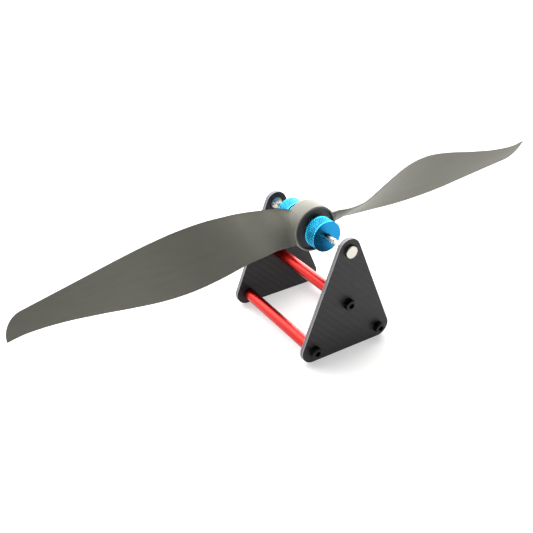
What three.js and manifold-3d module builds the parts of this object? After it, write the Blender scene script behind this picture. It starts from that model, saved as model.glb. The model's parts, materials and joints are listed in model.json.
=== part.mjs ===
// A two-blade propeller clamped on the shaft of a magnetic balancing stand.
//
// Units are millimetres. +X runs along the blades at rest, +Y along the shaft from the front plate to the
// rear plate, and +Z is up. The origin is on the surface the stand rests on, midway between the plates.
// Neighbouring pieces that touch on the real object are drawn FIT_GAP apart.

import * as THREE from 'three';
import { mergeVertices } from 'three/addons/utils/BufferGeometryUtils.js';
import Module from 'manifold-3d';

const wasm = await Module();
wasm.setup();

// ---- driving dimensions ----------------------------------------------------------------------------

const FIT_GAP = 0.3;
const WELD_DISTANCE = 1e-4;

// stand
const STAND_DEPTH = 64;
const PLATE_THICKNESS = 2.3;
const PLATE_CORNER_RADIUS = 6;
const PLATE_HALF_WIDTH = 25.5;
const PLATE_HEIGHT = 60;
const STANDOFF_RADIUS = 3;
const STANDOFF_CHAMFER = 0.3;
const STANDOFF_TAP_DEPTH = 9;
const STANDOFF_SPREAD = 18.8;
const LOWER_STANDOFF_HEIGHT = 6;
const CENTRE_STANDOFF_HEIGHT = 26;

// M3 socket-cap screws
const SCREW_RADIUS = 1.5;
const SCREW_LENGTH = 8;
const SCREW_HEAD_RADIUS = 2.75;
const SCREW_HEAD_HEIGHT = 3;
const SCREW_HEAD_CHAMFER = 0.3;
const SCREW_HEX_FLATS = 2.5;
const SCREW_HEX_DEPTH = 1.6;

// disc magnets, set in the top of each plate
const MAGNET_RADIUS = 3;
const MAGNET_CHAMFER = 0.2;
const MAGNET_INNER_PROUD = 0.2;
const MAGNET_OUTER_PROUD = 1.7;

// shaft: thicker in the middle, where the knobs screw on, with a cone point at each end
const SHAFT_RADIUS = 1.5;
const SHAFT_END_RADIUS = 1.1;
const SHAFT_MIDDLE_HALF_LENGTH = 20.5;
const SHAFT_POINT_LENGTH = 2.4;
const SHAFT_SAG = 0.4;
const SHAFT_HOVER_GAP = 0.4;

// centring cones and knurled knobs
const CONE_RIM_RADIUS = 7.4;
const CONE_RIM_LENGTH = 0.95;
const CONE_NOSE_RADIUS = 2.4;
const CONE_SLOPE = 0.875;
const KNOB_RADIUS = 7.75;
const KNOB_LENGTH = 7.05;
const KNOB_CHAMFER = 0.5;

// propeller hub
const HUB_RADIUS = 11.6;
const HUB_FRONT = -5;
const HUB_BACK = 5.4;
const HUB_FILLET = 0.5;
const HUB_BORE_RADIUS = 4.2;
const HUB_RECESS_RADIUS = 5.6;
const HUB_RECESS_DEPTH = 3.5;
const HUB_RIM_WIDTH = 1;
const HUB_DISH_DEPTH = 1.3;
const HUB_BORE_OVERSHOOT = 1;

// propeller blades
const BLADE_RADIUS = 146.9;
const BLADE_TIP_ROUND = 9;
const BLADE_TIP_CHORD_SHARE = 0.08;
const BLADE_STATION_COUNT = 32;
const BLADE_STATION_CROWDING = 1.3;
const BLADE_SECTION_POINTS = 9;
const BLADE_BELLY_PEAK = 0.6;
const TRAILING_EDGE_THICKNESS = 0.35;
const PROPELLER_REST_TILT = THREE.MathUtils.degToRad(3.65);

// One row per station: distance from the axis, trailing edge y and z, leading edge y and z, how far the back
// stands out from the chord, and how far the belly does.
const BLADE_STATIONS = [
  [6.8, -4.3, 4.9, 4.2, -9.0, 3.0, 3.6],
  [11.5, -4.7, 5.0, 6.9, -10.2, 4.8, 3.4],
  [15, -4.5, 4.6, 9.6, -10.0, 4.8, 2.1],
  [22, -5.0, 3.7, 11.2, -10.8, 3.0, 0.7],
  [29, -5.3, 4.1, 13.4, -11.2, 2.2, 0.4],
  [36, -4.1, 5.4, 13.6, -12.1, 2.4, 0.3],
  [50, -1.5, 9.6, 13.3, -13.5, 2.3, 0.3],
  [64, 1.0, 12.4, 11.9, -14.2, 2.1, 0.25],
  [78, 2.5, 12.5, 10.3, -13.9, 1.9, 0.25],
  [92, 2.7, 10.1, 8.7, -12.9, 1.6, 0.2],
  [108, 2.05, 6.2, 7.2, -11.1, 1.4, 0.2],
  [124, 1.25, 2.8, 5.7, -9.3, 1.2, 0.15],
  [138, 0.6, 1.3, 4.4, -7.75, 1.0, 0.12],
  [BLADE_RADIUS, 0.5, 2.1, 3.95, -6.6, 0.8, 0.1],
];

// ---- positions worked out from the driving dimensions -----------------------------------------------

const PLATE_OUTER = STAND_DEPTH / 2;
const PLATE_INNER = PLATE_OUTER - PLATE_THICKNESS;
const MAGNET_HEIGHT = PLATE_HEIGHT - PLATE_CORNER_RADIUS;
const MAGNET_INNER = PLATE_INNER - MAGNET_INNER_PROUD;
const MAGNET_OUTER = PLATE_OUTER + MAGNET_OUTER_PROUD;
const SHAFT_HEIGHT = MAGNET_HEIGHT - SHAFT_SAG;

// The rear point rests on its magnet and the front point hovers.
const SHAFT_REAR_END = MAGNET_INNER - FIT_GAP;
const SHAFT_FRONT_END = -(MAGNET_INNER - FIT_GAP - SHAFT_HOVER_GAP);

// Each cone enters the hub until its slope meets the edge of the recess in the dish or of the bore.
const HUB_DISH_BACK = HUB_FRONT + HUB_DISH_DEPTH;
const CONE_TAPER_LENGTH = (CONE_RIM_RADIUS - CONE_NOSE_RADIUS) / CONE_SLOPE;
const CONE_RADIAL_GAP = FIT_GAP * Math.hypot(1, CONE_SLOPE);
const seatDepth = (seatRadius) => (CONE_RIM_RADIUS - (seatRadius - CONE_RADIAL_GAP)) / CONE_SLOPE;
const FRONT_CONE_BASE = HUB_DISH_BACK - seatDepth(HUB_RECESS_RADIUS) - CONE_RIM_LENGTH;
const REAR_CONE_BASE = HUB_BACK + seatDepth(HUB_BORE_RADIUS) + CONE_RIM_LENGTH;

const SCREW_HOLE_RADIUS = SCREW_RADIUS + FIT_GAP;
const FASTENERS = [
  ['left', -STANDOFF_SPREAD, LOWER_STANDOFF_HEIGHT],
  ['right', STANDOFF_SPREAD, LOWER_STANDOFF_HEIGHT],
  ['centre', 0, CENTRE_STANDOFF_HEIGHT],
];
const ENDS = [
  ['front', 0],
  ['rear', Math.PI],
];

// ---- materials --------------------------------------------------------------------------------------

const carbon = new THREE.MeshStandardMaterial({ color: 0x2e2c30, roughness: 0.45, metalness: 0 });
const redAnodised = new THREE.MeshStandardMaterial({ color: 0xc81f1a, roughness: 0.25, metalness: 0.9 });
const blueAnodised = new THREE.MeshStandardMaterial({ color: 0x1c8fd0, roughness: 0.3, metalness: 0.9 });
const blackSteel = new THREE.MeshStandardMaterial({ color: 0x17171a, roughness: 0.4, metalness: 0.6 });
const nickel = new THREE.MeshStandardMaterial({ color: 0xd8d6cc, roughness: 0.15, metalness: 1 });
const steel = new THREE.MeshStandardMaterial({ color: 0xcfcabd, roughness: 0.2, metalness: 1 });
const greyNylon = new THREE.MeshStandardMaterial({ color: 0x8f8d83, roughness: 0.5, metalness: 0 });

// ---- helpers ----------------------------------------------------------------------------------------

function named(name, geometry, material) {
  const mesh = new THREE.Mesh(geometry, material);
  mesh.name = name;
  return mesh;
}

// Revolves [radius, y] points about the Y axis.
function turned(profile, segments) {
  const points = profile.map(([radius, y]) => new THREE.Vector2(radius, y));
  return new THREE.LatheGeometry(points, segments);
}

function toSolid(geometry) {
  const bare = geometry.clone();
  bare.deleteAttribute('normal');
  bare.deleteAttribute('uv');
  const merged = mergeVertices(bare, WELD_DISTANCE);
  const vertProperties = new Float32Array(merged.attributes.position.array);
  const triVerts = new Uint32Array(merged.index.array);
  return new wasm.Manifold(new wasm.Mesh({ numProp: 3, vertProperties, triVerts }));
}

function toGeometry(solid) {
  const mesh = solid.getMesh();
  const geometry = new THREE.BufferGeometry();
  geometry.setAttribute('position', new THREE.BufferAttribute(mesh.vertProperties, 3));
  geometry.setIndex(new THREE.BufferAttribute(mesh.triVerts, 1));
  geometry.computeVertexNormals();
  return geometry;
}

function circlePath(x, y, radius) {
  const path = new THREE.Path();
  path.absarc(x, y, radius, 0, 2 * Math.PI, true);
  return path;
}

// ---- stand ------------------------------------------------------------------------------------------

// A triangle with round corners, one straight edge on the ground.
function plateOutline() {
  const radius = PLATE_CORNER_RADIUS;
  const cornerX = PLATE_HALF_WIDTH - radius;
  const sideAngle = Math.atan2(cornerX, PLATE_HEIGHT - 2 * radius);
  const shape = new THREE.Shape();
  shape.absarc(cornerX, radius, radius, -Math.PI / 2, sideAngle, false);
  shape.absarc(0, MAGNET_HEIGHT, radius, sideAngle, Math.PI - sideAngle, false);
  shape.absarc(-cornerX, radius, radius, Math.PI - sideAngle, 1.5 * Math.PI, false);
  shape.closePath();
  return shape;
}

function plateGeometry() {
  const shape = plateOutline();
  shape.holes.push(circlePath(0, MAGNET_HEIGHT, MAGNET_RADIUS + FIT_GAP));
  for (const [, x, z] of FASTENERS) shape.holes.push(circlePath(x, z, SCREW_HOLE_RADIUS));
  const options = { depth: PLATE_THICKNESS, bevelEnabled: false, curveSegments: 16 };
  const plate = new THREE.ExtrudeGeometry(shape, options);
  plate.rotateX(Math.PI / 2);
  return plate;
}

function standoffGeometry() {
  const end = PLATE_INNER - FIT_GAP;
  const tapEnd = end - STANDOFF_TAP_DEPTH;
  const shoulder = end - STANDOFF_CHAMFER;
  const faceRadius = STANDOFF_RADIUS - STANDOFF_CHAMFER;
  return turned([
    [0, -tapEnd],
    [SCREW_HOLE_RADIUS, -tapEnd],
    [SCREW_HOLE_RADIUS, -end],
    [faceRadius, -end],
    [STANDOFF_RADIUS, -shoulder],
    [STANDOFF_RADIUS, shoulder],
    [faceRadius, end],
    [SCREW_HOLE_RADIUS, end],
    [SCREW_HOLE_RADIUS, tapEnd],
    [0, tapEnd],
  ], 32);
}

// The head is towards -Y, and its outer face is SCREW_HEAD_HEIGHT proud of the plate.
function screwGeometry() {
  const top = -(PLATE_OUTER + SCREW_HEAD_HEIGHT);
  const seat = -(PLATE_OUTER + FIT_GAP);
  const blank = turned([
    [0, top],
    [SCREW_HEAD_RADIUS - SCREW_HEAD_CHAMFER, top],
    [SCREW_HEAD_RADIUS, top + SCREW_HEAD_CHAMFER],
    [SCREW_HEAD_RADIUS, seat],
    [SCREW_RADIUS, seat],
    [SCREW_RADIUS, seat + SCREW_LENGTH],
    [0, seat + SCREW_LENGTH],
  ], 24);
  const hexRadius = SCREW_HEX_FLATS / Math.sqrt(3);
  const socket = new THREE.CylinderGeometry(hexRadius, hexRadius, 2 * SCREW_HEX_DEPTH, 6);
  socket.translate(0, top, 0);
  return toGeometry(toSolid(blank).subtract(toSolid(socket)));
}

// The magnet stands a little proud of both faces of the front plate.
function magnetGeometry() {
  const flatRadius = MAGNET_RADIUS - MAGNET_CHAMFER;
  return turned([
    [0, -MAGNET_OUTER],
    [flatRadius, -MAGNET_OUTER],
    [MAGNET_RADIUS, -MAGNET_OUTER + MAGNET_CHAMFER],
    [MAGNET_RADIUS, -MAGNET_INNER - MAGNET_CHAMFER],
    [flatRadius, -MAGNET_INNER],
    [0, -MAGNET_INNER],
  ], 36);
}

function makeStand() {
  const stand = new THREE.Group();
  for (const [end, turn] of ENDS) {
    const side = new THREE.Group();
    side.rotation.z = turn;
    const plate = named(`${end}_plate`, plateGeometry(), carbon);
    plate.position.y = -PLATE_INNER;
    const magnet = named(`${end}_magnet`, magnetGeometry(), nickel);
    magnet.position.z = MAGNET_HEIGHT;
    side.add(plate, magnet);
    for (const [place, x, z] of FASTENERS) {
      const screw = named(`${end}_${place}_screw`, screwGeometry(), blackSteel);
      screw.position.set(turn === 0 ? x : -x, 0, z);
      side.add(screw);
    }
    stand.add(side);
  }
  for (const [place, x, z] of FASTENERS) {
    const standoff = named(`${place}_standoff`, standoffGeometry(), redAnodised);
    standoff.position.set(x, 0, z);
    stand.add(standoff);
  }
  return stand;
}

// ---- shaft, cones and knobs -------------------------------------------------------------------------

function shaftGeometry() {
  return turned([
    [0, SHAFT_FRONT_END],
    [SHAFT_END_RADIUS, SHAFT_FRONT_END + SHAFT_POINT_LENGTH],
    [SHAFT_END_RADIUS, -SHAFT_MIDDLE_HALF_LENGTH],
    [SHAFT_RADIUS, -SHAFT_MIDDLE_HALF_LENGTH],
    [SHAFT_RADIUS, SHAFT_MIDDLE_HALF_LENGTH],
    [SHAFT_END_RADIUS, SHAFT_MIDDLE_HALF_LENGTH],
    [SHAFT_END_RADIUS, SHAFT_REAR_END - SHAFT_POINT_LENGTH],
    [0, SHAFT_REAR_END],
  ], 32);
}

// Base at y = 0 and nose towards +Y.
function coneGeometry() {
  const bore = SHAFT_RADIUS + FIT_GAP;
  const nose = CONE_RIM_LENGTH + CONE_TAPER_LENGTH;
  return turned([
    [bore, 0],
    [CONE_RIM_RADIUS, 0],
    [CONE_RIM_RADIUS, CONE_RIM_LENGTH],
    [CONE_NOSE_RADIUS, nose],
    [bore, nose],
    [bore, 0],
  ], 48);
}

// Outer face towards -Y.
function knobGeometry() {
  const bore = SHAFT_RADIUS + FIT_GAP;
  const outer = -KNOB_LENGTH;
  return turned([
    [bore, outer],
    [KNOB_RADIUS - KNOB_CHAMFER, outer],
    [KNOB_RADIUS, outer + KNOB_CHAMFER],
    [KNOB_RADIUS, -KNOB_CHAMFER],
    [KNOB_RADIUS - KNOB_CHAMFER, 0],
    [bore, 0],
    [bore, outer],
  ], 48);
}

function makeClamp(end, turn, coneBase) {
  const clamp = new THREE.Group();
  clamp.position.y = coneBase;
  clamp.rotation.z = turn;
  const knob = named(`${end}_knob`, knobGeometry(), blueAnodised);
  knob.position.y = -FIT_GAP;
  clamp.add(named(`${end}_cone`, coneGeometry(), blueAnodised), knob);
  return clamp;
}

// ---- propeller --------------------------------------------------------------------------------------

// Thickness along the chord as a share of the largest, from the leading edge at 0 to the trailing edge at 1.
function sectionThickness(chordShare) {
  const x = chordShare;
  return 2.969 * Math.sqrt(x) - 1.26 * x - 3.516 * x ** 2 + 2.843 * x ** 3 - 1.036 * x ** 4;
}

// The belly's depth along the chord as a share of the largest, fullest at BLADE_BELLY_PEAK.
function bellyDepth(chordShare) {
  const skew = BLADE_BELLY_PEAK / (1 - BLADE_BELLY_PEAK);
  return (chordShare / BLADE_BELLY_PEAK) ** skew * (1 - chordShare) / (1 - BLADE_BELLY_PEAK);
}

// A curve through the stations, with x the distance from the axis and y and z two neighbouring columns.
function bladeCurve(column) {
  const points = BLADE_STATIONS.map((row) => new THREE.Vector3(row[0], row[column], row[column + 1]));
  return new THREE.CatmullRomCurve3(points, false, 'catmullrom', 0.5);
}

// The points of one closed section, from the trailing edge round the convex back to the leading edge and
// home along the belly, which faces the front plate and is nearly flat except at the root.
function bladeSection(trailing, leading, thickness, belly) {
  const chord = new THREE.Vector3().subVectors(trailing, leading);
  const outward = new THREE.Vector3(0, chord.z, -chord.y).normalize();
  const point = (share, offset) => (
    leading.clone().addScaledVector(chord, share).addScaledVector(outward, offset)
  );
  const back = [];
  const front = [];
  for (let i = 0; i <= BLADE_SECTION_POINTS; i += 1) {
    const share = 0.5 * (1 + Math.cos(Math.PI * i / BLADE_SECTION_POINTS));
    const body = thickness * sectionThickness(share);
    const edge = TRAILING_EDGE_THICKNESS * share;
    back.push(point(share, body + edge));
    if (i > 0 && i < BLADE_SECTION_POINTS) front.push(point(share, -belly * bellyDepth(share)));
  }
  const trailingCorner = point(1, 0);
  return [...back, ...front.reverse(), trailingCorner];
}

function bladeGeometry() {
  const trailingCurve = bladeCurve(1);
  const leadingCurve = bladeCurve(3);
  const bulkCurve = bladeCurve(5);
  const rings = [];
  for (let i = 0; i <= BLADE_STATION_COUNT; i += 1) {
    const along = 1 - (1 - i / BLADE_STATION_COUNT) ** BLADE_STATION_CROWDING;
    const trailing = trailingCurve.getPoint(along);
    const leading = leadingCurve.getPoint(along);
    const tipShare = Math.max(0, (trailing.x - (BLADE_RADIUS - BLADE_TIP_ROUND)) / BLADE_TIP_ROUND);
    const chordShare = Math.max(BLADE_TIP_CHORD_SHARE, Math.sqrt(1 - Math.min(1, tipShare) ** 2));
    leading.lerpVectors(trailing, leading, chordShare);
    const bulk = bulkCurve.getPoint(along).multiplyScalar(Math.sqrt(chordShare));
    rings.push(bladeSection(trailing, leading, bulk.y, bulk.z));
  }
  const count = rings[0].length;
  const vertices = rings.flat().flatMap((point) => point.toArray());
  const faces = [];
  for (let ring = 0; ring < rings.length - 1; ring += 1) {
    for (let i = 0; i < count; i += 1) {
      const a = ring * count + i;
      const b = ring * count + (i + 1) % count;
      faces.push(a, b + count, b, a, a + count, b + count);
    }
  }
  const last = (rings.length - 1) * count;
  for (let i = 1; i < count - 1; i += 1) {
    faces.push(0, i, i + 1);
    faces.push(last, last + i + 1, last + i);
  }
  const geometry = new THREE.BufferGeometry();
  geometry.setAttribute('position', new THREE.Float32BufferAttribute(vertices, 3));
  geometry.setIndex(faces);
  return geometry;
}

function hubGeometry() {
  const faceRadius = HUB_RADIUS - HUB_FILLET;
  return turned([
    [0, HUB_FRONT],
    [faceRadius, HUB_FRONT],
    [HUB_RADIUS, HUB_FRONT + HUB_FILLET],
    [HUB_RADIUS, HUB_BACK - HUB_FILLET],
    [faceRadius, HUB_BACK],
    [0, HUB_BACK],
  ], 64);
}

// All that is cut out of the hub: a dish inside its front rim, the recess and the bore.
function hubBoreGeometry() {
  const start = HUB_FRONT - HUB_BORE_OVERSHOOT;
  const dishRadius = HUB_RADIUS - HUB_RIM_WIDTH;
  const recessEnd = HUB_FRONT + HUB_RECESS_DEPTH;
  const end = HUB_BACK + HUB_BORE_OVERSHOOT;
  return turned([
    [0, start],
    [dishRadius, start],
    [dishRadius, HUB_DISH_BACK],
    [HUB_RECESS_RADIUS, HUB_DISH_BACK],
    [HUB_RECESS_RADIUS, recessEnd],
    [HUB_BORE_RADIUS, recessEnd],
    [HUB_BORE_RADIUS, end],
    [0, end],
  ], 48);
}

function propellerGeometry() {
  const blade = toSolid(bladeGeometry());
  const opposite = blade.rotate([0, 180, 0]);
  const body = toSolid(hubGeometry()).add(blade).add(opposite);
  return toGeometry(body.subtract(toSolid(hubBoreGeometry())));
}

// ---- assembly ---------------------------------------------------------------------------------------

const rotor = new THREE.Group();
rotor.position.z = SHAFT_HEIGHT;
const propeller = named('propeller', propellerGeometry(), greyNylon);
propeller.rotation.y = -PROPELLER_REST_TILT;
rotor.add(
  named('shaft', shaftGeometry(), steel),
  propeller,
  makeClamp('front', 0, FRONT_CONE_BASE),
  makeClamp('rear', Math.PI, REAR_CONE_BASE),
);

const balancer = new THREE.Group();
balancer.add(makeStand(), rotor);

export default balancer;
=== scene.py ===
"""The looks of a two-blade propeller clamped on the shaft of a magnetic balancing stand.

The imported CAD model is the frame. Each of its solids is drawn again here in the place that the CAD gives it,
with its edges broken, its knurls, thread and sockets cut and its blades smooth. The constants are in
millimetres, and the meshes are in metres.
"""

import json
import math

import bmesh
import bpy
from mathutils import Matrix, Vector

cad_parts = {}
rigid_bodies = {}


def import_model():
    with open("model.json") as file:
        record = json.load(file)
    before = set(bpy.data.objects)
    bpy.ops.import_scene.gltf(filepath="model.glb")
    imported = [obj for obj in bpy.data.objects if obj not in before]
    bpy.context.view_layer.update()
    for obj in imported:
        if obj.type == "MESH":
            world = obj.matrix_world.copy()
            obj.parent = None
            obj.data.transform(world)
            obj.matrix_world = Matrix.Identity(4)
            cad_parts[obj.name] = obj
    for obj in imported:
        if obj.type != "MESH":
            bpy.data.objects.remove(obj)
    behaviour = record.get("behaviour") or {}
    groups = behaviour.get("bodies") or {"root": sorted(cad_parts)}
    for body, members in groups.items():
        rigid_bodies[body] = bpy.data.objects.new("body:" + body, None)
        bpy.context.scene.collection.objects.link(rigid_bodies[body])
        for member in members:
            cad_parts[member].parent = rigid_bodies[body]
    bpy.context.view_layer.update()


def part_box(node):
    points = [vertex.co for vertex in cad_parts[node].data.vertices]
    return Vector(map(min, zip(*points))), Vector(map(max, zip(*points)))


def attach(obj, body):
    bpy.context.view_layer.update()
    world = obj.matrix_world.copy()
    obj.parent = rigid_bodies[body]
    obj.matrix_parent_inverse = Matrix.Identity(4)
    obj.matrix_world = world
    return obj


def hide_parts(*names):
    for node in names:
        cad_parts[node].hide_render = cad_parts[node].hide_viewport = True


MM = 0.001
ENDS = ("front", "rear")
PLACES = ("left", "right", "centre")

# ---- dimensions that the CAD boxes don't give ----------------------------------------------------------

PLATE_CORNER_RADIUS = 6
PLATE_HALF_WIDTH = 25.5
PLATE_HEIGHT = 60
PLATE_THICKNESS = 2.3
PLATE_REACH = 32
PLATE_EDGE_BREAK = 0.18
PLATE_EDGE_STEPS = 2
PLATE_CORNER_STEPS = 20
PLATE_TOP_STEPS = 24
PLATE_HOLE_SEGMENTS = 48
PLATE_SHARP_DEGREES = 50
# The weave is on the faces that lie along the plate: the cosine between their normals and Y is above this.
PLATE_FLAT_COSINE = 0.8
SCREW_HOLE_RADIUS = 1.8
MAGNET_HOLE_RADIUS = 3.15
MAGNET_EDGE_BREAK = 0.22

STANDOFF_TAP_DEPTH = 9
STANDOFF_EDGE_BREAK = 0.35
TAP_EDGE_BREAK = 0.15

SCREW_RADIUS = 1.5
SCREW_END_CHAMFER = 0.4
SCREW_HEAD_HEIGHT = 2.7
SCREW_HEX_FLATS = 2.5
SCREW_HEX_DEPTH = 1.6
SCREW_HEX_POINT = 0.5
SCREW_HEX_CORNER = 0.1
SCREW_HEX_MOUTH_FLATS = 2.7
SCREW_HEX_MOUTH_DEPTH = 0.14
# The head's plain parts on both sides of its knurl: how far each point lies inside the head's radius, and
# how far below the top of the head.
SCREW_CROWN = ((0.42, 0), (0.22, 0.06), (0.07, 0.2), (0, 0.4), (0, 0.5))
SCREW_SKIRT = ((0, 2.35), (0, 2.58), (0.1, SCREW_HEAD_HEIGHT))
SCREW_KNURL_REACH = (0.62, 2.25)
SCREW_KNURL_COUNT = 32
SCREW_KNURL_DEPTH = 0.09
SCREW_SEGMENTS = 192

SHAFT_RADIUS = 1.5
SHAFT_END_RADIUS = 1.1
SHAFT_MIDDLE_HALF_LENGTH = 20.5
SHAFT_CHAMFER = 0.15
SHAFT_POINT_LENGTH = 2.4
SHAFT_POINT_RADIUS = 0.12
SHAFT_POINT_ROUNDING = 0.08
SHAFT_SHOULDER_INSET = 0.1
SHAFT_SHOULDER_LENGTH = 0.25
SHAFT_SEGMENTS = 40
THREAD_PITCH = 0.5
THREAD_DEPTH = 0.07
THREAD_INSET = 0.8
THREAD_STEPS = 4

CLAMP_BORE_RADIUS = 1.65
CLAMP_BORE_EDGE_BREAK = 0.1
CONE_RIM_LENGTH = 0.95
CONE_NOSE_RADIUS = 2.4
CONE_BACK_EDGE_BREAK = 0.12
CONE_EDGE_BREAK = 0.15
KNOB_RADIUS = 7.75
KNOB_EDGE_BREAK = 0.15
KNURL_COUNT = 36
KNURL_ROWS = 5
KNURL_STEPS = 4
KNURL_RUN_OUT_STEPS = 2
KNURL_DEPTH = 0.42
KNURL_INSET = 0.25
# The knurl is dark down from the first of these shares of its depth, and pale up from the second.
# The dark share marks painted shade in the grooves, the pale share a painted highlight on the tips.
KNURL_DARK_SHARE = 0.8
KNURL_PALE_SHARE = 0.35

HUB_RADIUS = 11.6
HUB_FRONT = -5
HUB_BACK = 5.4
HUB_FILLET = 0.5
HUB_SEGMENTS = 160
# The bore and the recess close on the cones here, without the CAD's clearance.
HUB_BORE_RADIUS = 3.86
HUB_BORE_EDGE_BREAK = 0.08
HUB_RECESS_RADIUS = 5.26
HUB_RECESS_DEPTH = 3.5
HUB_RECESS_FILLET = 0.3
HUB_STEP_EDGE_BREAK = 0.15
HUB_RIM_WIDTH = 1
HUB_DISH_DEPTH = 1.3
HUB_DISH_FILLET = 0.4
DISH_CUT_MARGIN = 1

BLADE_RADIUS = 146.9
BLADE_TIP_ROUND = 9
BLADE_TIP_CHORD_SHARE = 0.08
BLADE_BELLY_PEAK = 0.6
BLADE_ROOT_FILLET = 1.6
BLADE_STATION_COUNT = 200
BLADE_STATION_CROWDING = 1.3
BLADE_SECTION_POINTS = 24
TRAILING_EDGE_THICKNESS = 0.35
PROPELLER_REST_TILT = math.radians(3.65)
PROPELLER_SHARP_DEGREES = 38

# One row per station: distance from the axis, trailing edge y and z, leading edge y and z, how far the back
# stands out from the chord, and how far the belly does.
BLADE_STATIONS = [
    (6.8, -4.3, 4.9, 4.2, -9.0, 3.0, 3.6),
    (11.5, -4.7, 5.0, 6.9, -10.2, 4.8, 3.4),
    (15, -4.5, 4.6, 9.6, -10.0, 4.8, 2.1),
    (22, -5.0, 3.7, 11.2, -10.8, 3.0, 0.7),
    (29, -5.3, 4.1, 13.4, -11.2, 2.2, 0.4),
    (36, -4.1, 5.4, 13.6, -12.1, 2.4, 0.3),
    (50, -1.5, 9.6, 13.3, -13.5, 2.3, 0.3),
    (64, 1.0, 12.4, 11.9, -14.2, 2.1, 0.25),
    (78, 2.5, 12.5, 10.3, -13.9, 1.9, 0.25),
    (92, 2.7, 10.1, 8.7, -12.9, 1.6, 0.2),
    (108, 2.05, 6.2, 7.2, -11.1, 1.4, 0.2),
    (124, 1.25, 2.8, 5.7, -9.3, 1.2, 0.15),
    (138, 0.6, 1.3, 4.4, -7.75, 1.0, 0.12),
    (BLADE_RADIUS, 0.5, 2.1, 3.95, -6.6, 0.8, 0.1),
]

# Points closer than this are one point: in a mesh as it is drawn, and along the seams of joined solids.
POINT_WELD = 0.0001
SEAM_WELD = 0.01

# ---- floor and camera ----------------------------------------------------------------------------------

FLOOR_HALF_WIDTH = 3000
FLOOR_DROP = 0.05

CAMERA_AZIMUTH = math.radians(-30.76)
CAMERA_ELEVATION = math.radians(30.15)
CAMERA_ROLL = math.radians(-1.54)
CAMERA_DISTANCE = 343.7
CAMERA_TARGET = (-24.83, 0, 38.61)
CAMERA_LENS = 48.6
CAMERA_SENSOR = 36
CAMERA_CLIP_METRES = (0.01, 50)

# ---- light: soft lights on a dome ----------------------------------------------------------------------

DOME_COLOUR = (1, 0.995, 0.98, 1)
# One row per light: its direction, the cosines from its middle at which it starts and is full, its strength.
DOME_LIGHTS = (
    ((0.3, 0.8, 0.58), 0.45, 0.9, 6.8),
    ((-0.75, 0.65, 0.15), 0.6, 0.95, 1.5),
)
# What each light also gives off over the rest of the dome.
DOME_GLOW = 0.02

# ---- mesh helpers --------------------------------------------------------------------------------------


class Place:
    """Where a turned CAD node lies: its axis and its reach along Y, in millimetres."""

    def __init__(self, node):
        low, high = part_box(node)
        self.x = (low.x + high.x) / 2 / MM
        self.z = (low.z + high.z) / 2 / MM
        self.radius = (high.x - low.x) / 2 / MM
        self.low_y = low.y / MM
        self.high_y = high.y / MM
        self.length = self.high_y - self.low_y

    def outward(self, end, profile):
        """Places a profile whose lengths run inwards from the side that faces out of the stand."""
        if end == "front":
            return [(radius, self.low_y + inward) for radius, inward in profile]
        return [(radius, self.high_y - inward) for radius, inward in profile]


def mesh_object(name, vertices, faces, material, sharp_degrees=35):
    """A mesh from points in millimetres, with its faces turned outwards."""
    mesh = bpy.data.meshes.new(name)
    mesh.from_pydata([Vector(point) * MM for point in vertices], [], faces)
    bm = bmesh.new()
    bm.from_mesh(mesh)
    bmesh.ops.remove_doubles(bm, verts=bm.verts, dist=POINT_WELD * MM)
    bmesh.ops.recalc_face_normals(bm, faces=bm.faces)
    bm.to_mesh(mesh)
    bm.free()
    mesh.shade_smooth()
    mesh.set_sharp_from_angle(angle=math.radians(sharp_degrees))
    mesh.materials.append(material)
    piece = bpy.data.objects.new(name, mesh)
    bpy.context.scene.collection.objects.link(piece)
    return piece


def even_normals(piece):
    """Flat faces keep their own shading beside a rounded edge."""
    modifier = piece.modifiers.new("normals", "WEIGHTED_NORMAL")
    modifier.keep_sharp = True


def paint(piece, material, wanted):
    """Gives one more material to the faces whose centres, in millimetres, are wanted."""
    materials = piece.data.materials
    materials.append(material)
    for face in piece.data.polygons:
        if wanted(face.center / MM):
            face.material_index = len(materials) - 1


def rounded(corners, closed=False, steps=4):
    """Turns corners of (radius, y, edge break) into profile points, with an arc at each broken corner."""
    points = []
    for i, (radius, y, edge_break) in enumerate(corners):
        here = Vector((radius, y))
        if edge_break == 0:
            points.append(here)
            continue
        before = (Vector(corners[i - 1][:2]) - here).normalized()
        after = (Vector(corners[(i + 1) % len(corners)][:2]) - here).normalized()
        half = before.angle(after) / 2
        centre = here + (before + after).normalized() * edge_break / math.sin(half)
        start = here + before * edge_break / math.tan(half) - centre
        end = here + after * edge_break / math.tan(half) - centre
        for step in range(steps + 1):
            points.append(centre + start.lerp(end, step / steps).normalized() * edge_break)
    if closed:
        points.append(points[0])
    return [tuple(point) for point in points]


def turned(name, profile, place, material, segments=96, sharp_degrees=35):
    """Revolves (radius, y) points about the place's axis, or about Y itself when there is no place.

    A radius may be a function of the angle.
    """
    x, z = (place.x, place.z) if place else (0, 0)
    angles = [2 * math.pi * i / segments for i in range(segments)]
    vertices = []
    for radius, y in profile:
        for angle in angles:
            reach = radius(angle) if callable(radius) else radius
            vertices.append((x + reach * math.cos(angle), y, z + reach * math.sin(angle)))
    faces = []
    for row in range(len(profile) - 1):
        for i in range(segments):
            a = row * segments + i
            b = row * segments + (i + 1) % segments
            faces.append((a, b, b + segments, a + segments))
    return mesh_object(name, vertices, faces, material, sharp_degrees)


def add_piece(piece, body, node):
    """Fixes a piece to its body, in place of the CAD node."""
    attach(piece, body)
    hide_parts(node)


# ---- material helpers ----------------------------------------------------------------------------------


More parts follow.
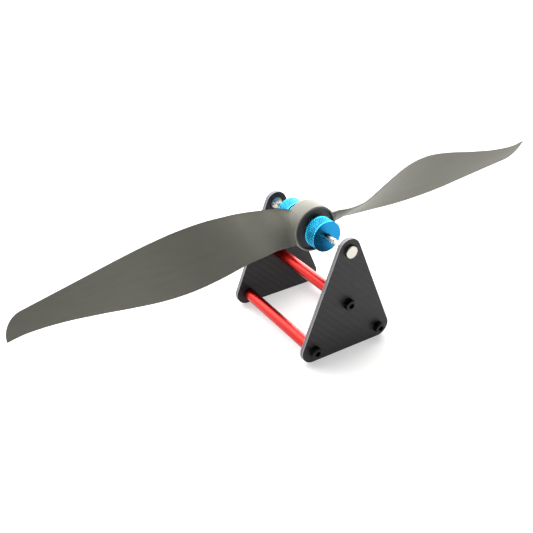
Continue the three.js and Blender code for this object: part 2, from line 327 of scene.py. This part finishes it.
class Finish:
    """A procedural material on one Principled shader, with its coordinates in millimetres."""

    def __init__(self, name, centre=(0, 0, 0), **sockets):
        self.material = bpy.data.materials.new(name)
        self.material.use_nodes = True
        self.tree = self.material.node_tree
        self.shader = self.tree.nodes["Principled BSDF"]
        for key, value in sockets.items():
            self.shader.inputs[key.replace("_", " ")].default_value = value
        coordinates = self.tree.nodes.new("ShaderNodeTexCoord")
        mapping = self.node("ShaderNodeMapping", {"Vector": coordinates.outputs["Object"]})
        mapping.inputs["Scale"].default_value = (1 / MM,) * 3
        mapping.inputs["Location"].default_value = [-value for value in centre]
        self.position = mapping.outputs["Vector"]

    def node(self, kind, inputs=None, **settings):
        """A new node, with each input linked to a socket or set to a value."""
        node = self.tree.nodes.new(kind)
        for key, value in settings.items():
            setattr(node, key, value)
        for key, value in (inputs or {}).items():
            if isinstance(value, bpy.types.NodeSocket):
                self.tree.links.new(value, node.inputs[key])
            else:
                node.inputs[key].default_value = value
        return node

    def set(self, socket, value):
        """Links what varies over the surface to one of the shader's sockets."""
        self.tree.links.new(value, self.shader.inputs[socket])

    def math(self, operation, first, second=0.0):
        """The result of one operation on one or two numbers."""
        return self.node("ShaderNodeMath", {0: first, 1: second}, operation=operation).outputs[0]

    def stretched(self, scale):
        """The position with each of its coordinates scaled on its own."""
        return self.node("ShaderNodeMapping", {"Vector": self.position, "Scale": scale}).outputs[0]

    def noise(self, scale, detail, stretch=(1, 1, 1)):
        """Smooth noise around 0.5, with scale in cycles per millimetre."""
        inputs = {"Vector": self.stretched(stretch), "Scale": scale, "Detail": detail}
        return self.node("ShaderNodeTexNoise", inputs).outputs["Fac"]

    def rings(self, pitch, distortion):
        """Fine tool marks in rings round Y, one pitch apart."""
        # At a scale of one the node draws its rings this far apart.
        natural_pitch = math.pi / 10
        inputs = {
            "Vector": self.position,
            "Scale": natural_pitch / pitch,
            "Distortion": distortion,
            "Detail": 2.0,
            "Detail Scale": 1.0,
        }
        wave = self.node("ShaderNodeTexWave", inputs, wave_type="RINGS", rings_direction="Y")
        return wave.outputs["Fac"]

    def between(self, factor, low, high, start=0.3, end=0.7):
        """Runs from low to high as the factor goes from start to end."""
        inputs = {"Value": factor, "From Min": start, "From Max": end, "To Min": low, "To Max": high}
        return self.node("ShaderNodeMapRange", inputs).outputs["Result"]

    def blend(self, factor, first, second):
        """A colour between two, each three numbers."""
        # The node's sockets for colours come after those for numbers and vectors, under the same names.
        node = self.node("ShaderNodeMix", data_type="RGBA")
        self.tree.links.new(factor, node.inputs["Factor"])
        node.inputs[6].default_value = (*first, 1)
        node.inputs[7].default_value = (*second, 1)
        return node.outputs[2]

    def bump(self, height, depth, strength):
        """Raises the surface by depth millimetres where the height is 1."""
        inputs = {"Height": height, "Distance": depth * MM, "Strength": strength}
        self.set("Normal", self.node("ShaderNodeBump", inputs).outputs["Normal"])


# ---- materials -----------------------------------------------------------------------------------------


def carbon_face():
    """A 2 x 2 twill of fine tows under satin resin."""
    finish = Finish("carbon_face", Specular_IOR_Level=0.25, Coat_Weight=0.12, Coat_Roughness=0.3)
    tow = 1.05
    # The weave repeats every four tows, and the shift keeps every tow's number above zero.
    repeat = 4
    shift = 1000 * repeat
    split = finish.node("ShaderNodeSeparateXYZ", {"Vector": finish.position})
    warp = finish.math("DIVIDE", split.outputs["X"], tow)
    weft = finish.math("DIVIDE", split.outputs["Z"], tow)
    step = finish.math("ADD", finish.math("FLOOR", warp), finish.math("FLOOR", weft))
    over = finish.math("LESS_THAN", finish.math("MODULO", finish.math("ADD", step, shift), repeat), 1.5)
    crowns = []
    for share in (warp, weft):
        crowns.append(finish.math("SINE", finish.math("MULTIPLY", finish.math("FRACT", share), math.pi)))
    # Sockets 2 and 3 are the two numbers that the node mixes.
    crown = finish.node("ShaderNodeMix", {"Factor": over, 2: crowns[1], 3: crowns[0]}).outputs[0]
    sheen = finish.math("ADD", finish.math("MULTIPLY", over, 0.6), finish.noise(1.2, 3))
    finish.set("Base Color", finish.blend(sheen, (0.0055, 0.0045, 0.0055), (0.031, 0.028, 0.0305)))
    finish.set("Roughness", finish.between(sheen, 0.4, 0.58, 0.3, 0.85))
    finish.bump(crown, 0.015, 0.5)
    return finish.material


def carbon_edge():
    """The sawn edge of the laminate: thin plies with dust in the grain, and a pale band along the front face
    that is a painted highlight.
    """
    finish = Finish("carbon_edge", Specular_IOR_Level=0.4)
    split = finish.node("ShaderNodeSeparateXYZ", {"Vector": finish.position})
    # Both plates are this distance apart, so one measure of depth serves the edges of the two.
    apart = 2 * PLATE_REACH - PLATE_THICKNESS
    margin = 0.05
    depth = finish.math("MODULO", finish.math("ADD", split.outputs["Y"], PLATE_REACH + margin), apart)
    # A paler band along each plate's front face: a painted highlight where the broken edge catches the light.
    pale = finish.between(depth, 0.45, 0, 0.6, 0.85)
    plies = finish.between(finish.noise(1, 2, (0.15, 5, 0.15)), 0, 0.55, 0.35, 0.65)
    grain = finish.noise(2.5, 4)
    tone = finish.math("ADD", pale, plies)
    finish.set("Base Color", finish.blend(tone, (0.08, 0.078, 0.084), (0.32, 0.315, 0.33)))
    finish.set("Roughness", finish.between(grain, 0.45, 0.7))
    finish.bump(finish.math("ADD", plies, grain), 0.04, 0.5)
    return finish.material


def red_anodised():
    """Bright red anodised rod with drawn lines along it."""
    finish = Finish("red_anodised", Metallic=1.0, Coat_Weight=0.2, Coat_Roughness=0.2)
    along = finish.noise(3, 3, (1, 0.04, 1))
    cloud = finish.noise(0.15, 2)
    finish.set("Base Color", finish.blend(cloud, (0.43, 0.01, 0.008), (0.48, 0.014, 0.011)))
    finish.set("Roughness", finish.between(along, 0.26, 0.38))
    finish.bump(along, 0.003, 0.3)
    return finish.material


def blue_finish(name, shaft):
    """Metal under a thin satin film, without its colour yet, measured from the shaft's axis."""
    return Finish(name, centre=(0, 0, shaft.z), Metallic=1.0, Coat_Weight=0.12, Coat_Roughness=0.25)


def blue_anodised(shaft):
    """Bright blue anodised aluminium with turning marks on its faces."""
    finish = blue_finish("blue_anodised", shaft)
    cloud = finish.noise(0.35, 3)
    finish.set("Base Color", finish.blend(cloud, (0.008, 0.225, 0.49), (0.01, 0.245, 0.53)))
    finish.set("Roughness", finish.between(cloud, 0.24, 0.32))
    finish.bump(finish.rings(0.09, 0.6), 0.002, 0.3)
    return finish.material


def blue_knurl(shaft):
    """The same anodising over a knurl, with a painted highlight on the tips and painted shade in the grooves.
    """
    finish = blue_finish("blue_knurl", shaft)
    across = finish.stretched((1, 0, 1))
    radius = finish.node("ShaderNodeVectorMath", {0: across}, operation="LENGTH").outputs["Value"]
    dark = KNOB_RADIUS - KNURL_DARK_SHARE * KNURL_DEPTH
    pale = KNOB_RADIUS - KNURL_PALE_SHARE * KNURL_DEPTH
    # Painted light: paler towards the knurl's tips as a highlight, darker down in its grooves as shade.
    tips = finish.between(radius, 0, 1, dark, pale)
    finish.set("Base Color", finish.blend(tips, (0.002, 0.06, 0.2), (0.036, 0.68, 1)))
    finish.set("Roughness", finish.between(finish.noise(0.8, 3), 0.42, 0.55))
    return finish.material


def black_oxide():
    """Blackened alloy steel, slightly oily and blotched."""
    finish = Finish("black_oxide", Metallic=0.9)
    blotch = finish.noise(1.2, 4)
    finish.set("Base Color", finish.blend(blotch, (0.012, 0.012, 0.013), (0.035, 0.034, 0.036)))
    finish.set("Roughness", finish.between(blotch, 0.28, 0.46))
    finish.bump(finish.noise(7, 2), 0.01, 0.4)
    return finish.material


def nickel():
    """Bright plate with a faint orange peel and finger haze."""
    finish = Finish("nickel", Metallic=1.0)
    haze = finish.noise(0.6, 4)
    finish.set("Base Color", finish.blend(haze, (0.54, 0.525, 0.46), (0.5, 0.485, 0.43)))
    finish.set("Roughness", finish.between(haze, 0.08, 0.24))
    finish.bump(finish.noise(2.2, 2), 0.006, 0.4)
    return finish.material


def shaft_steel():
    """Ground and polished steel with grinding marks round it."""
    finish = Finish("shaft_steel", Metallic=1.0)
    marks = finish.noise(2, 3, (0.5, 8, 0.5))
    finish.set("Base Color", finish.blend(marks, (0.72, 0.69, 0.6), (0.8, 0.77, 0.68)))
    finish.set("Roughness", finish.between(marks, 0.2, 0.3))
    finish.bump(marks, 0.004, 0.4)
    return finish.material


def moulded_nylon(name, low, high):
    """Glass-filled nylon between two tones: satin, with the mould's grain and streaks along the flow."""
    finish = Finish(name, Specular_IOR_Level=0.25)
    grain = finish.noise(3.5, 4)
    flow = finish.noise(0.5, 4, (0.12, 1, 1))
    tone = finish.math("ADD", finish.math("MULTIPLY", grain, 0.35), finish.math("MULTIPLY", flow, 0.65))
    finish.set("Base Color", finish.blend(finish.between(tone, 0, 1), low, high))
    finish.set("Roughness", finish.between(grain, 0.42, 0.56))
    finish.bump(grain, 0.012, 0.4)
    return finish.material


def white_paper():
    """A white sheet on a light table, which lifts the shadows."""
    finish = Finish(
        "white_paper",
        Roughness=0.6,
        Specular_IOR_Level=0.25,
        Emission_Color=(1, 1, 1, 1),
        Emission_Strength=0.52,
    )
    tone = finish.noise(0.02, 2)
    finish.set("Base Color", finish.blend(tone, (0.56, 0.56, 0.56), (0.58, 0.58, 0.58)))
    return finish.material


# ---- stand ---------------------------------------------------------------------------------------------


def arc(x, z, radius, start, end, steps):
    """Points on an arc round (x, z), from one angle to another."""
    angles = [start + (end - start) * i / steps for i in range(steps + 1)]
    return [(x + radius * math.cos(angle), z + radius * math.sin(angle)) for angle in angles]


def plate_outline(inset):
    """A triangle with round corners, one straight edge on the ground."""
    radius = PLATE_CORNER_RADIUS - inset
    corner_x = PLATE_HALF_WIDTH - PLATE_CORNER_RADIUS
    corner_z = PLATE_CORNER_RADIUS
    top_z = PLATE_HEIGHT - PLATE_CORNER_RADIUS
    side = math.atan2(corner_x, top_z - corner_z)
    return (
        arc(corner_x, corner_z, radius, -math.pi / 2, side, PLATE_CORNER_STEPS)
        + arc(0, top_z, radius, side, math.pi - side, PLATE_TOP_STEPS)
        + arc(-corner_x, corner_z, radius, math.pi - side, 1.5 * math.pi, PLATE_CORNER_STEPS)
    )


def plate_rows(end):
    """How deep each row of a plate's points lies and how far it is inset, over both broken edges."""
    low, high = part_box(f"{end}_plate")
    near, far = low.y / MM, high.y / MM
    corner = []
    for step in range(PLATE_EDGE_STEPS + 1):
        angle = math.pi / 2 * step / PLATE_EDGE_STEPS
        corner.append((PLATE_EDGE_BREAK * (1 - math.sin(angle)), PLATE_EDGE_BREAK * (1 - math.cos(angle))))
    rows = [(near + depth, inset) for inset, depth in corner]
    rows += [(far - depth, inset) for inset, depth in reversed(corner)]
    return rows


def plate_walls(end):
    """A plate's outline and its four holes, each as rings of points from the near face to the far one."""
    holes = [(0, PLATE_HEIGHT - PLATE_CORNER_RADIUS, MAGNET_HOLE_RADIUS)]
    for place_name in PLACES:
        screw = Place(f"{end}_{place_name}_screw")
        holes.append((screw.x, screw.z, SCREW_HOLE_RADIUS))
    rows = plate_rows(end)
    walls = [[(y, plate_outline(inset)) for y, inset in rows]]
    for x, z, radius in holes:
        wall = []
        for y, inset in rows:
            circle = arc(x, z, radius + inset, 0, 2 * math.pi, PLATE_HOLE_SEGMENTS)
            wall.append((y, circle[:-1]))
        walls.append(wall)
    return walls


def fill_face(bm, rings):
    """Fills the face inside the first ring, with a hole at each of the others."""
    edges = []
    for ring in rings:
        for i, vertex in enumerate(ring):
            edges.append(bm.edges.get((vertex, ring[(i + 1) % len(ring)])))
    bmesh.ops.triangle_fill(bm, edges=edges, use_beauty=True)


def make_plate(end, face_material, edge_material):
    """A plate with broken edges, with its plies in sight at its outline and in its holes."""
    bm = bmesh.new()
    near_rings, far_rings = [], []
    for wall in plate_walls(end):
        rings = []
        for y, outline in wall:
            rings.append([bm.verts.new(Vector((x, y, z)) * MM) for x, z in outline])
        count = len(rings[0])
        for first, second in zip(rings, rings[1:]):
            for i in range(count):
                j = (i + 1) % count
                bm.faces.new((first[i], first[j], second[j], second[i]))
        near_rings.append(rings[0])
        far_rings.append(rings[-1])
    fill_face(bm, near_rings)
    fill_face(bm, far_rings)
    bmesh.ops.recalc_face_normals(bm, faces=bm.faces)
    for face in bm.faces:
        face.smooth = True
        face.material_index = 0 if abs(face.normal.y) > PLATE_FLAT_COSINE else 1
    mesh = bpy.data.meshes.new(f"{end}_plate_look")
    bm.to_mesh(mesh)
    bm.free()
    mesh.set_sharp_from_angle(angle=math.radians(PLATE_SHARP_DEGREES))
    mesh.materials.append(face_material)
    mesh.materials.append(edge_material)
    plate = bpy.data.objects.new(f"{end}_plate_look", mesh)
    bpy.context.scene.collection.objects.link(plate)
    even_normals(plate)
    add_piece(plate, "stand", f"{end}_plate")


def make_standoff(place_name, material):
    """A rod tapped at both ends, each hole with the cone of a drill point at its bottom."""
    node = f"{place_name}_standoff"
    place = Place(node)
    low_tap = place.low_y + STANDOFF_TAP_DEPTH
    high_tap = place.high_y - STANDOFF_TAP_DEPTH
    profile = rounded([
        (0, low_tap + SCREW_HOLE_RADIUS, 0),
        (SCREW_HOLE_RADIUS, low_tap, 0),
        (SCREW_HOLE_RADIUS, place.low_y, TAP_EDGE_BREAK),
        (place.radius, place.low_y, STANDOFF_EDGE_BREAK),
        (place.radius, place.high_y, STANDOFF_EDGE_BREAK),
        (SCREW_HOLE_RADIUS, place.high_y, TAP_EDGE_BREAK),
        (SCREW_HOLE_RADIUS, high_tap, 0),
        (0, high_tap - SCREW_HOLE_RADIUS, 0),
    ])
    standoff = turned(f"{node}_look", profile, place, material)
    even_normals(standoff)
    add_piece(standoff, "stand", node)


def hexagon(flats):
    """The distance from the middle of a hexagon to its side, at each angle."""

    def reach(angle):
        return flats / 2 / math.cos(angle % (math.pi / 3) - math.pi / 6)

    return reach


def fluted(radius):
    """The distance from the middle of a screw's head to its knurl, at each angle."""

    def reach(angle):
        return radius - SCREW_KNURL_DEPTH * (0.5 - 0.5 * math.cos(SCREW_KNURL_COUNT * angle))

    return reach


def make_screw(end, place_name, material):
    """A socket-cap screw, turned from the bottom of its hexagon over its head to its far end."""
    node = f"{end}_{place_name}_screw"
    place = Place(node)
    radius, length = place.radius, place.length
    profile = [
        (0, SCREW_HEX_DEPTH + SCREW_HEX_POINT),
        (hexagon(SCREW_HEX_FLATS - SCREW_HEX_CORNER), SCREW_HEX_DEPTH),
        (hexagon(SCREW_HEX_FLATS), SCREW_HEX_DEPTH - SCREW_HEX_CORNER),
        (hexagon(SCREW_HEX_FLATS), SCREW_HEX_MOUTH_DEPTH),
        (hexagon(SCREW_HEX_MOUTH_FLATS), 0),
    ]
    profile += [(radius - inset, depth) for inset, depth in SCREW_CROWN]
    profile += [(fluted(radius), depth) for depth in SCREW_KNURL_REACH]
    profile += [(radius - inset, depth) for inset, depth in SCREW_SKIRT]
    profile += [
        (SCREW_RADIUS, SCREW_HEAD_HEIGHT),
        (SCREW_RADIUS, length - SCREW_END_CHAMFER),
        (SCREW_RADIUS - SCREW_END_CHAMFER, length),
        (0, length),
    ]
    outward = place.outward(end, profile)
    screw = turned(f"{node}_look", outward, place, material, segments=SCREW_SEGMENTS)
    even_normals(screw)
    add_piece(screw, "stand", node)


def make_magnet(end, material):
    """A disc with broken edges."""
    node = f"{end}_magnet"
    place = Place(node)
    corners = [
        (0, place.low_y, 0),
        (place.radius, place.low_y, MAGNET_EDGE_BREAK),
        (place.radius, place.high_y, MAGNET_EDGE_BREAK),
        (0, place.high_y, 0),
    ]
    magnet = turned(f"{node}_look", rounded(corners), place, material)
    even_normals(magnet)
    add_piece(magnet, "stand", node)


# ---- shaft, cones and knobs ----------------------------------------------------------------------------


def triangle_wave(value):
    """0 at whole numbers and 1 half way between them."""
    return 1 - abs(2 * (value % 1) - 1)


def shaft_end(tip, side):
    """Profile points from a tip of the shaft to the chamfer where its thick middle starts."""
    middle = side * SHAFT_MIDDLE_HALF_LENGTH
    return [
        (0, tip),
        (SHAFT_POINT_RADIUS, tip - side * SHAFT_POINT_ROUNDING),
        (SHAFT_END_RADIUS - SHAFT_SHOULDER_INSET, tip - side * (SHAFT_POINT_LENGTH - SHAFT_SHOULDER_LENGTH)),
        (SHAFT_END_RADIUS, tip - side * SHAFT_POINT_LENGTH),
        (SHAFT_END_RADIUS, middle),
        (SHAFT_RADIUS - SHAFT_CHAMFER, middle),
        (SHAFT_RADIUS, middle - side * SHAFT_CHAMFER),
    ]


def thread_rows():
    """Profile points of the thread, whose radii are functions of the angle and fade in at both ends."""
    half = SHAFT_MIDDLE_HALF_LENGTH - THREAD_INSET
    steps = round(THREAD_STEPS * 2 * half / THREAD_PITCH)
    rows = []
    for i in range(steps + 1):
        y = -half + 2 * half * i / steps
        run_out = min(1, (half - abs(y)) / THREAD_PITCH)

        def thread(angle, y=y, run_out=run_out):
            turn = angle / (2 * math.pi)
            return SHAFT_RADIUS - THREAD_DEPTH * run_out * triangle_wave(y / THREAD_PITCH - turn)

        rows.append((thread, y))
    return rows


def make_shaft(material):
    """A threaded rod with a thinner end and a blunted point on each side."""
    place = Place("shaft")
    profile = shaft_end(place.low_y, -1) + thread_rows() + shaft_end(place.high_y, 1)[::-1]
    shaft = turned("shaft_look", profile, place, material, segments=SHAFT_SEGMENTS, sharp_degrees=60)
    add_piece(shaft, "rotor", "shaft")


def make_cone(end, material):
    """A bored cone with a short straight rim behind it."""
    node = f"{end}_cone"
    place = Place(node)
    corners = [
        (CLAMP_BORE_RADIUS, 0, CLAMP_BORE_EDGE_BREAK),
        (place.radius, 0, CONE_BACK_EDGE_BREAK),
        (place.radius, CONE_RIM_LENGTH, CONE_EDGE_BREAK),
        (CONE_NOSE_RADIUS, place.length, CONE_EDGE_BREAK),
        (CLAMP_BORE_RADIUS, place.length, CLAMP_BORE_EDGE_BREAK),
    ]
    cone = turned(f"{node}_look", place.outward(end, rounded(corners, closed=True)), place, material)
    even_normals(cone)
    add_piece(cone, end + "_cone", node)


def knurl_rows(radius, length):
    """Profile points of a diamond knurl, whose radii are functions of the angle."""
    width = length - 2 * KNURL_INSET
    steps = KNURL_STEPS * KNURL_ROWS
    rows = []
    for i in range(steps + 1):
        run_out = min(1, i / KNURL_RUN_OUT_STEPS, (steps - i) / KNURL_RUN_OUT_STEPS)

        def knurl(angle, row=i / KNURL_STEPS, run_out=run_out):
            turn = KNURL_COUNT * angle / (2 * math.pi)
            groove = max(triangle_wave(turn + row), triangle_wave(turn - row))
            return radius - KNURL_DEPTH * run_out * groove

        rows.append((knurl, KNURL_INSET + width * i / steps))
    return rows


def make_knob(end, material, knurl_material):
    """A bored knob with a diamond knurl between its two plain edges."""
    node = f"{end}_knob"
    place = Place(node)
    radius, length = place.radius, place.length
    ring = rounded([
        (CLAMP_BORE_RADIUS, length, CLAMP_BORE_EDGE_BREAK),
        (CLAMP_BORE_RADIUS, 0, CLAMP_BORE_EDGE_BREAK),
        (radius, 0, KNOB_EDGE_BREAK),
        (radius, length, KNOB_EDGE_BREAK),
    ])
    # The knurl goes in between the last two of the four corners.
    before = len(ring) * 3 // 4
    closed = ring[:before] + knurl_rows(radius, length) + ring[before:] + ring[:1]
    profile = place.outward(end, closed)
    segments = KNURL_STEPS * KNURL_COUNT
    knob = turned(f"{node}_look", profile, place, material, segments, sharp_degrees=25)

    def knurled(centre):
        out = math.hypot(centre.x - place.x, centre.z - place.z)
        from_middle = abs(centre.y - (place.low_y + place.high_y) / 2)
        return out > radius / 2 and from_middle < length / 2 - KNURL_INSET

    paint(knob, knurl_material, knurled)
    even_normals(knob)
    add_piece(knob, end + "_knob", node)


# ---- propeller -----------------------------------------------------------------------------------------


def spline(rows, share):
    """A point on the uniform Catmull-Rom curve through the rows, at a share of its way."""
    at = share * (len(rows) - 1)
    i = min(int(at), len(rows) - 2)
    t = at - i
    here, there = rows[i], rows[i + 1]
    before = rows[i - 1] if i > 0 else [2 * a - b for a, b in zip(here, there)]
    after = rows[i + 2] if i + 2 < len(rows) else [2 * b - a for a, b in zip(here, there)]
    point = []
    for a, b, c, d in zip(before, here, there, after):
        leave, arrive = (c - a) / 2, (d - b) / 2
        cubic = 2 * b - 2 * c + leave + arrive
        square = -3 * b + 3 * c - 2 * leave - arrive
        point.append(((cubic * t + square) * t + leave) * t + b)
    return point


def section_thickness(x):
    """Thickness as a share of the largest, from the leading edge at 0 to the trailing edge at 1.

    This is the usual polynomial for a four-digit wing section with a closed trailing edge.
    """
    return 2.969 * math.sqrt(x) - 1.26 * x - 3.516 * x**2 + 2.843 * x**3 - 1.036 * x**4


def belly_depth(x):
    """Depth of the belly as a share of the largest, along the chord from the leading edge."""
    skew = BLADE_BELLY_PEAK / (1 - BLADE_BELLY_PEAK)
    return (x / BLADE_BELLY_PEAK) ** skew * (1 - x) / (1 - BLADE_BELLY_PEAK)


def root_fillet(point, share):
    """How far the blade's skin stands out where it runs into the hub, fading at the blade's two edges."""
    gap = max(0, math.hypot(point.x, point.z) - HUB_RADIUS)
    if gap >= BLADE_ROOT_FILLET:
        return 0
    rise = BLADE_ROOT_FILLET - math.sqrt(BLADE_ROOT_FILLET**2 - (BLADE_ROOT_FILLET - gap) ** 2)
    from_rim = min(HUB_BACK - point.y, point.y - HUB_FRONT) / BLADE_ROOT_FILLET
    return rise * min(1, max(0, from_rim)) * math.sin(math.pi * share)


def blade_section(trailing, leading, thickness, belly):
    """Points round the blade at one station, over its back to the leading edge and back along its belly."""
    chord = trailing - leading
    outward = Vector((0, chord.z, -chord.y)).normalized()
    back, front = [], []
    for i in range(BLADE_SECTION_POINTS + 1):
        share = 0.5 * (1 + math.cos(math.pi * i / BLADE_SECTION_POINTS))
        middle = leading + chord * share
        rise = thickness * section_thickness(share) + TRAILING_EDGE_THICKNESS * share
        back_point = middle + outward * rise
        back.append(back_point + outward * root_fillet(back_point, share))
        if i < BLADE_SECTION_POINTS:
            front_point = middle - outward * belly * belly_depth(share)
            front.append(front_point - outward * root_fillet(front_point, share))
    return back + front[::-1]


def blade_mesh(turn):
    """Points and faces of one blade, or of the opposite one when turn is -1."""
    rings = []
    for i in range(BLADE_STATION_COUNT + 1):
        along = 1 - (1 - i / BLADE_STATION_COUNT) ** BLADE_STATION_CROWDING
        reach, *edges, thickness, belly = spline(BLADE_STATIONS, along)
        trailing = Vector((reach, *edges[:2]))
        leading = Vector((reach, *edges[2:]))
        tip_share = max(0, (reach - (BLADE_RADIUS - BLADE_TIP_ROUND)) / BLADE_TIP_ROUND)
        chord_share = max(BLADE_TIP_CHORD_SHARE, math.sqrt(1 - min(1, tip_share) ** 2))
        leading = trailing.lerp(leading, chord_share)
        bulk = math.sqrt(chord_share)
        rings.append(blade_section(trailing, leading, thickness * bulk, belly * bulk))
    count = len(rings[0])
    vertices = [(turn * point.x, point.y, turn * point.z) for ring in rings for point in ring]
    faces = [tuple(range(count)), tuple(range(len(vertices) - count, len(vertices)))]
    for row in range(len(rings) - 1):
        for i in range(count):
            a = row * count + i
            b = row * count + (i + 1) % count
            faces.append((a, b, b + count, a + count))
    return vertices, faces


def hub_profile():
    """The hub's ring, stepped inside from the front recess to the bore."""
    recess = HUB_FRONT + HUB_RECESS_DEPTH
    return rounded([
        (HUB_RECESS_RADIUS, HUB_FRONT, 0),
        (HUB_RADIUS, HUB_FRONT, HUB_FILLET),
        (HUB_RADIUS, HUB_BACK, HUB_FILLET),
        (HUB_BORE_RADIUS, HUB_BACK, HUB_BORE_EDGE_BREAK),
        (HUB_BORE_RADIUS, recess, HUB_STEP_EDGE_BREAK),
        (HUB_RECESS_RADIUS, recess, HUB_RECESS_FILLET),
    ], closed=True, steps=6)


def dish_profile():
    """What the dish takes away, from in front of the hub to the bottom of the dish."""
    radius = HUB_RADIUS - HUB_RIM_WIDTH
    front = HUB_FRONT - DISH_CUT_MARGIN
    back = HUB_FRONT + HUB_DISH_DEPTH
    return rounded([(0, front, 0), (radius, front, 0), (radius, back, HUB_DISH_FILLET), (0, back, 0)])


def on_front_rim(centre):
    """Whether a face lies on the rounded edge round the hub's front."""
    out = math.hypot(centre.x, centre.z)
    return centre.y < HUB_FRONT + HUB_FILLET and HUB_RADIUS - HUB_FILLET < out < HUB_RADIUS


def combine(piece, operation, other):
    """Joins another solid to the piece or cuts it away, and keeps the other one's material."""
    join = piece.modifiers.new("join", "BOOLEAN")
    join.operation = operation
    join.solver = "EXACT"
    join.material_mode = "TRANSFER"
    join.object = other


def apply_modifiers(piece):
    """Makes the modifiers' result the piece's own mesh, and welds the slivers along its seams."""
    graph = bpy.context.evaluated_depsgraph_get()
    mesh = bpy.data.meshes.new_from_object(piece.evaluated_get(graph))
    piece.modifiers.clear()
    piece.data = mesh
    bm = bmesh.new()
    bm.from_mesh(mesh)
    bmesh.ops.remove_doubles(bm, verts=bm.verts, dist=SEAM_WELD * MM)
    bmesh.ops.dissolve_degenerate(bm, edges=bm.edges, dist=SEAM_WELD * MM)
    bm.to_mesh(mesh)
    bm.free()


def make_propeller(material, dish_shade_material, rim_highlight_material, shaft):
    """The hub ring joined to its two blades, with the dish cut inside its front rim."""
    propeller = turned("propeller_look", hub_profile(), None, material, HUB_SEGMENTS, sharp_degrees=30)
    parts = []
    for turn in (1, -1):
        parts.append(mesh_object(f"blade_{turn}", *blade_mesh(turn), material))
        combine(propeller, "UNION", parts[-1])
    # The dish's faces take a darker grey: painted shade in the hollow of the hub's front.
    parts.append(turned("dish", dish_profile(), None, dish_shade_material, HUB_SEGMENTS))
    combine(propeller, "DIFFERENCE", parts[-1])
    apply_modifiers(propeller)
    for part in parts:
        bpy.data.objects.remove(part)
    # A paler grey on the rounded edge round the hub's front: a painted highlight.
    paint(propeller, rim_highlight_material, on_front_rim)
    mesh = propeller.data
    mesh.transform(Matrix.Translation((0, 0, shaft.z * MM)) @ Matrix.Rotation(-PROPELLER_REST_TILT, 4, "Y"))
    mesh.shade_smooth()
    mesh.set_sharp_from_angle(angle=math.radians(PROPELLER_SHARP_DEGREES))
    add_piece(propeller, "rotor", "propeller")


# ---- surroundings --------------------------------------------------------------------------------------


def make_floor():
    """A flat sheet just under the stand."""
    corners = []
    for x, y in ((-1, -1), (1, -1), (1, 1), (-1, 1)):
        corners.append((x * FLOOR_HALF_WIDTH, y * FLOOR_HALF_WIDTH, -FLOOR_DROP))
    floor = mesh_object("floor", corners, [(0, 1, 2, 3)], white_paper())


def make_camera():
    """A camera that looks at its target from a distance, with a little roll."""
    across = math.cos(CAMERA_ELEVATION)
    back = Vector((
        math.sin(CAMERA_AZIMUTH) * across,
        -math.cos(CAMERA_AZIMUTH) * across,
        math.sin(CAMERA_ELEVATION),
    ))
    data = bpy.data.cameras.new("camera")
    data.lens = CAMERA_LENS
    data.sensor_width = CAMERA_SENSOR
    data.clip_start, data.clip_end = CAMERA_CLIP_METRES
    camera = bpy.data.objects.new("camera", data)
    bpy.context.scene.collection.objects.link(camera)
    level = back.to_track_quat("Z", "Y").to_matrix().to_4x4()
    place = Matrix.Translation((Vector(CAMERA_TARGET) + back * CAMERA_DISTANCE) * MM)
    camera.matrix_world = place @ level @ Matrix.Rotation(CAMERA_ROLL, 4, "Z")
    bpy.context.scene.camera = camera


def make_world():
    """A large soft light behind and above, a weaker one low on the left, and a white backdrop all round."""
    world = bpy.data.worlds.new("world")
    bpy.context.scene.world = world
    world.use_nodes = True
    tree = world.node_tree
    outwards = tree.nodes.new("ShaderNodeTexCoord").outputs["Generated"]
    background = tree.nodes["Background"]
    background.inputs["Color"].default_value = DOME_COLOUR
    # Only the camera sees the backdrop, so it doesn't light the object.
    total = tree.nodes.new("ShaderNodeLightPath").outputs["Is Camera Ray"]
    for towards, start, full, strength in DOME_LIGHTS:
        facing = tree.nodes.new("ShaderNodeVectorMath")
        facing.operation = "DOT_PRODUCT"
        tree.links.new(outwards, facing.inputs[0])
        facing.inputs[1].default_value = Vector(towards).normalized()
        glow = tree.nodes.new("ShaderNodeMapRange")
        glow.interpolation_type = "SMOOTHSTEP"
        tree.links.new(facing.outputs["Value"], glow.inputs["Value"])
        glow.inputs["From Min"].default_value = start
        glow.inputs["From Max"].default_value = full
        glow.inputs["To Min"].default_value = DOME_GLOW
        glow.inputs["To Max"].default_value = strength
        add = tree.nodes.new("ShaderNodeMath")
        tree.links.new(glow.outputs["Result"], add.inputs[0])
        tree.links.new(total, add.inputs[1])
        total = add.outputs[0]
    tree.links.new(total, background.inputs["Strength"])


# ---- the scene -----------------------------------------------------------------------------------------


def main():
    """Loads the frame, sets the stage and draws each piece."""
    for thing in list(bpy.data.objects):
        bpy.data.objects.remove(thing)
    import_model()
    make_camera()
    make_floor()
    make_world()
    bpy.context.scene.view_settings.view_transform = "Standard"

    face, edge = carbon_face(), carbon_edge()
    red, black, bright = red_anodised(), black_oxide(), nickel()
    shaft = Place("shaft")
    blue, knurl = blue_anodised(shaft), blue_knurl(shaft)
    for end in ENDS:
        make_plate(end, face, edge)
        make_magnet(end, bright)
        make_cone(end, blue)
        make_knob(end, blue, knurl)
        for place_name in PLACES:
            make_screw(end, place_name, black)
    for place_name in PLACES:
        make_standoff(place_name, red)
    make_shaft(shaft_steel())
    grey = moulded_nylon("propeller_grey", (0.182, 0.179, 0.15), (0.198, 0.195, 0.166))
    # The dish's darker grey is painted shade in the hollow of the hub's front.
    dish = moulded_nylon("dish_shade_grey", (0.1, 0.1, 0.095), (0.115, 0.115, 0.11))
    # The rim's paler grey is a painted highlight on the rounded edge round the hub's front.
    rim = moulded_nylon("rim_highlight_grey", (0.3, 0.29, 0.25), (0.34, 0.33, 0.285))
    make_propeller(grey, dish, rim, shaft)


main()
